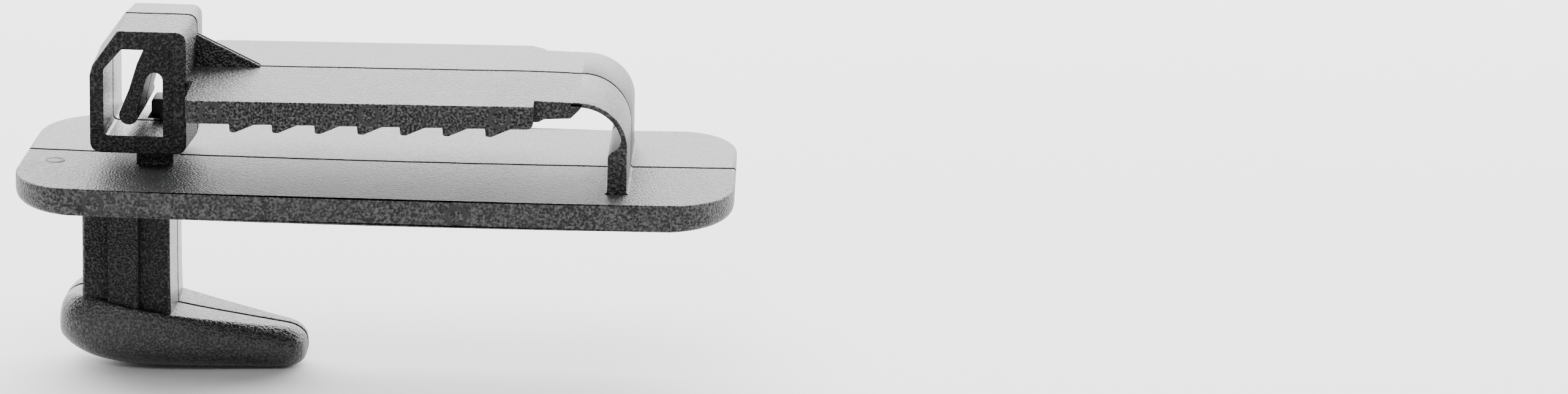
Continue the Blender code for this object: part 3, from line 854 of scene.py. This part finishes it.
def make_strap(materials):
    """Toothed strap as one bar across the clamp, with ejector marks in its front edge."""
    low, high = limits("strap_bar")
    levels = mould_levels(low.y, high.y, STRAP_DRAFT)
    slope = math.tan(math.radians(STRAP_DRAFT))
    depths = [STRAP_ROOT_HALF, STRAP_ROOT_HALF + 0.05, high.y - STRAP_CORNER,
              high.y - STRAP_CORNER / 2, high.y - STRAP_CORNER / 4, STRAP_EASE_START,
              STRAP_EASE_START + STRAP_EASE_STEP]
    levels = sorted(levels + [(sign * y, y * slope, 0.0) for y in depths for sign in (-1, 1)])
    sides = len(strap_outline(0.0))
    drafts = [1.0, 0.0] + [STRAP_SIDE_DRAFT] * (sides - 3) + [0.0]
    builder = moulded(strap_outline, levels, drafts=drafts, marks=STRAP_MARKS)
    strap = finish_piece("toothed_strap", builder, materials["face"], "arm",
                         ["strap_bar", "rack_heel", *TEETH])
    strap.data.materials.append(materials["side"])
    strap.data.materials.append(materials["smooth"])
    for polygon in strap.data.polygons:
        if abs(polygon.normal.y) < FACES_ALONG_Y:
            polygon.material_index = 1 if polygon.normal.z > -0.1 else 2    # top, teeth
    dull_marks(strap, STRAP_MARKS, materials["groove"])


GUSSET_DRAFT = 3.0
GUSSET_EDGE = 0.14
GUSSET_REACH = 0.6          # how far the gusset runs into the box


def make_gusset(materials):
    """Thin triangle between the latch box and the strap."""
    low, high = limits("gusset")
    left = low.x - GUSSET_REACH
    slope = (high.z - low.z) / (high.x - low.x)
    corners = [(left, low.z - 0.5, 0.0), (high.x + 0.25, low.z - 0.4, 0.0),
               (high.x + 0.1, low.z - 0.05, 0.15), (left, high.z + slope * (low.x - left), 0.0)]
    levels = mould_levels(low.y, high.y, GUSSET_DRAFT, edge=GUSSET_EDGE, seam=False)
    builder = moulded(corners, levels)
    finish_piece("gusset_fin", builder, materials["side"], "arm", ("gusset",))


WEB_THICKNESS = 0.46
WEB_CENTRE = (18.65, 6.95)
WEB_RADIUS = 4.5
WEB_STRAP_REACH = 0.5       # how far the web runs into the neck
POST_FILLET = 0.3
POST_SHOULDER = ((-0.78, 6.95, 0.3), (0.3, 6.5, 0.3), (0.0, 6.1, 0.2))
NECK_REACH = 0.7            # how far the neck runs into the strap
NECK_DRAFTS = (0, 0, 0, 0, 0, 0, 0, 1)      # only the top is drafted


def make_neck(materials):
    """Neck between the strap and the flexible web, with a ramp up to the web's underside."""
    low, high = limits("strap_neck")
    left = low.x - NECK_REACH
    meet = WEB_CENTRE[1] + WEB_RADIUS
    corners = [(left, high.z, 0.0), (left, low.z - 0.05, 0.0), (low.x + 0.1, low.z, 0.1),
               (low.x + 0.6, low.z + 0.28, 0.4), (high.x - 0.4, low.z + 0.42, 0.3),
               (high.x + 0.4, meet - 1.0, 0.3), (high.x + 0.8, meet - 0.45, 0.0),
               (high.x + 0.1, meet - 0.005, 0.0)]
    levels = mould_levels(low.y, high.y, STRAP_DRAFT)
    builder = moulded(corners, levels, drafts=NECK_DRAFTS)
    finish_piece("neck", builder, materials["side"], "arm", ("strap_neck",))


def make_web(materials):
    """Flexible web bent through a quarter turn, and its post, which flares onto the plate."""
    post_low, post_high = limits("hinge_post")
    plate_top = limits("base_plate")[1].z
    neck_high = limits("strap_neck")[1]
    right = post_high.x
    left = post_low.x
    outer = arc_points(WEB_CENTRE, WEB_RADIUS, 4, 88, 24)
    inner = arc_points(WEB_CENTRE, WEB_RADIUS - WEB_THICKNESS, 88, 12, 22)
    start = neck_high.x - WEB_STRAP_REACH
    meet = WEB_CENTRE[1] + WEB_RADIUS
    foot = plate_top - 0.1
    lip = plate_top + 0.1
    corners = [(left - POST_FILLET, foot, 0), (right + POST_FILLET, foot, 0),
               (right + POST_FILLET, lip, 0), (right + 0.08, plate_top + 0.22, 0.1),
               (right, lip + POST_FILLET, 0.1)]
    corners += [(x, z, 0.0) for x, z in outer]
    corners += [(start, meet, 0), (start, meet - WEB_THICKNESS, 0)]
    corners += [(x, z, 0.0) for x, z in inner]
    corners += [(side + across, z, radius)
                for side, (across, z, radius) in zip((right, left, left), POST_SHOULDER)]
    corners += [(left, lip + POST_FILLET, 0.1), (left - 0.08, plate_top + 0.22, 0.1),
                (left - POST_FILLET, lip, 0)]
    levels = mould_levels(post_low.y, post_high.y, 0.0)
    builder = moulded(corners, levels)
    slope = math.tan(math.radians(STRAP_DRAFT))
    for vertex in builder.verts:
        share = min(1.0, max(0.0, (vertex.co.z - WEB_CENTRE[1]) / WEB_RADIUS))
        vertex.co.z -= abs(vertex.co.y) * slope * share
    web = finish_piece("web_and_post", builder, materials["side"], None,
                       ("hinge_web", "hinge_post"), sharp=50)
    web.modifiers.clear()       # its shading bends with it
    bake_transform(web)


# ---------------------------------------------------------------------------------------------
# Studio
# ---------------------------------------------------------------------------------------------

FLOOR_HALF = 9.0            # metres
FLOOR_GREY = 0.94
SURROUND = 0.4
AIM = Vector((0.0, 0.0, 0.0))
# Name, place, width, height, power
SOFTBOXES = (
    ("back_softbox", (0.0, 0.75, 0.42), 2.6, 0.7, 62.0),
    ("top_softbox", (0.0, -0.05, 0.9), 1.2, 0.8, 11.0),
    ("front_key", (-0.05, -0.6, 0.4), 0.14, 0.14, 1.4),
)


def make_floor(bottom):
    """Plain pale floor that the foot stands on."""
    builder = bmesh.new()
    bmesh.ops.create_grid(builder, x_segments=8, y_segments=8, size=FLOOR_HALF)
    mesh = bpy.data.meshes.new("floor")
    builder.to_mesh(mesh)
    builder.free()
    floor = bpy.data.objects.new("floor", mesh)
    floor.location.z = bottom
    bpy.context.scene.collection.objects.link(floor)
    material = bpy.data.materials.new("pale_floor")
    make = NodeMaker(material)
    make.shader.inputs["Base Color"].default_value = (FLOOR_GREY, FLOOR_GREY, FLOOR_GREY, 1.0)
    make.shader.inputs["Roughness"].default_value = 0.8
    mesh.materials.append(material)


def add_softbox(name, place, size_x, size_y, power):
    """Rectangular soft light that faces the clamp."""
    light = bpy.data.lights.new(name, "AREA")
    light.shape = "RECTANGLE"
    light.size = size_x
    light.size_y = size_y
    light.energy = power
    item = bpy.data.objects.new(name, light)
    item.location = place
    item.rotation_euler = (AIM - Vector(place)).to_track_quat("-Z", "Y").to_euler()
    bpy.context.scene.collection.objects.link(item)


def make_lights():
    """A broad softbox behind, a weaker one overhead, a small key in front, and a pale surround."""
    for softbox in SOFTBOXES:
        add_softbox(*softbox)
    world = bpy.data.worlds.new("studio")
    bpy.context.scene.world = world
    world.use_nodes = True
    world.node_tree.nodes["Background"].inputs["Color"].default_value = (1.0, 1.0, 1.0, 1.0)
    world.node_tree.nodes["Background"].inputs["Strength"].default_value = SURROUND


CAMERA_PLACE = (0.036607, -0.422340, 0.113302)
CAMERA_PITCH = math.radians(15.0)
CAMERA_YAW = math.radians(0.13)
CAMERA_ROLL = math.radians(-1.668)
CAMERA_LENS = 107.44
CAMERA_SENSOR = 36.0
CAMERA_NEAR = 0.02


def make_camera():
    """Camera a little above the clamp, square on to its long side."""
    camera = bpy.data.cameras.new("camera")
    camera.sensor_width = CAMERA_SENSOR
    camera.lens = CAMERA_LENS
    camera.clip_start = CAMERA_NEAR
    item = bpy.data.objects.new("camera", camera)
    spin = Matrix.Rotation(-CAMERA_YAW, 3, "Z")
    tilt = Matrix.Rotation(math.pi / 2 - CAMERA_PITCH, 3, "X")
    roll = Matrix.Rotation(-CAMERA_ROLL, 3, "Z")
    item.matrix_world = Matrix.Translation(CAMERA_PLACE) @ (spin @ tilt @ roll).to_4x4()
    bpy.context.scene.collection.objects.link(item)
    bpy.context.scene.camera = item


def main():
    """Build the pieces around the frame, then the studio."""
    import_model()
    note_size()
    materials = {
        "face": nylon("nylon_grained_face", 1.0, 0.36, 0.5),
        "side": nylon("nylon_two_halves", 0.75, 0.3, 0.46, back_grain=0.2),
        # The box, hairpin and shank get a darker copy of the same nylon: its darker specks and
        # lower specular level are painted shade
        "fine": nylon("nylon_fine_grain_painted_shade", 0.85, 0.34, 0.5, painted_glint=0.016, shine=0.26),
        "smooth": nylon("nylon_polished", 0.12, 0.2, 0.32),
        "foot": nylon("nylon_soft_grain", 0.45, 0.26, 0.36),
        "groove": nylon("nylon_dull", 0.04, 0.6, 0.7),
    }
    make_plate(materials)
    surface_marks(materials)
    make_shank(materials)
    make_foot(materials["foot"])
    make_stem(materials)
    make_box(materials)
    make_hairpin(materials)
    make_gusset(materials)
    make_strap(materials)
    make_neck(materials)
    make_web(materials)
    make_floor(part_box("hook_foot")[0].z)
    make_lights()
    make_camera()
    note_size()


main()
